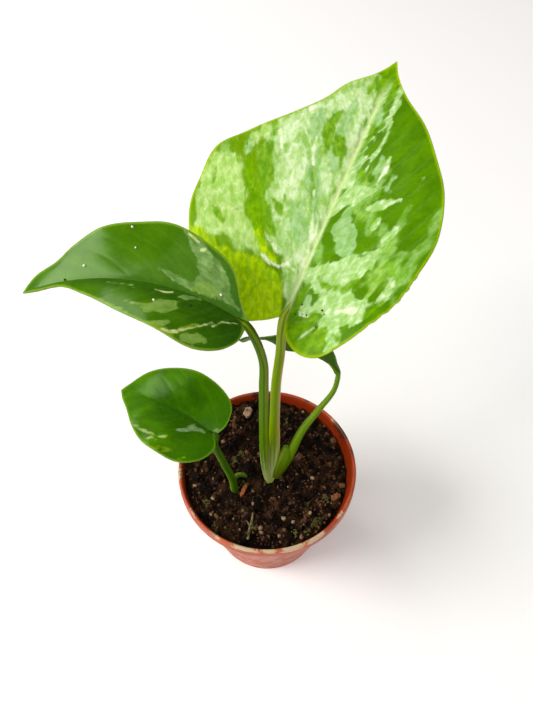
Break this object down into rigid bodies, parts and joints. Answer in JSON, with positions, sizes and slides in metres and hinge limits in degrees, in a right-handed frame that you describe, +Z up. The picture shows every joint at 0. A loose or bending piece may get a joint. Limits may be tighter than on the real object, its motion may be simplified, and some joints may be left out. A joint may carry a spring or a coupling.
{
  "type": "potted swiss cheese plant",
  "caption": "Young variegated aroid house plant with heart-shaped leaves on slender stalks, rooted in soil in a small round nursery pot.",
  "frame": {"origin": "centre of the flat underside of the pot, on the surface the pot stands on", "axes": "+Z up along the pot's axis; the large leaf leans away along +Y; the dark leaf points along -X"},
  "size_m": [0.1116, 0.1089, 0.1463],
  "materials": {
    "pot": "thin moulded terracotta-coloured plastic, slightly dusty, with a pale lime deposit on the near lip",
    "soil": "damp dark potting soil with pale grit, moss specks and fibres",
    "crown": "pale green stem base with whitish sheath",
    "petiole": "smooth green leaf stalk with yellowish stripes, satin",
    "leaf_marbled": "glossy mid-green blade marbled with cream and pale green along the veins",
    "leaf_dark": "glossy dark green blade with pale grey-green patches",
    "leaf_young": "glossy green blade with a few cream specks",
    "leaf_back": "matt grey-green underside of a blade turned away",
    "bark": "dry bark flakes and a bit of twig"
  },
  "bodies": {
    "root": {"pot": "pot", "soil": "soil", "crown": "crown", "petiole_large": "petiole", "petiole_left": "petiole", "petiole_right": "petiole", "petiole_small": "petiole", "leaf_large": "leaf_marbled", "leaf_left": "leaf_dark", "leaf_small": "leaf_young", "leaf_back": "leaf_back", "chip_orange": "bark", "chip_pink": "bark", "chip_right": "bark", "chip_brown": "bark", "twig": "bark"}
  },
  "joints": []
}
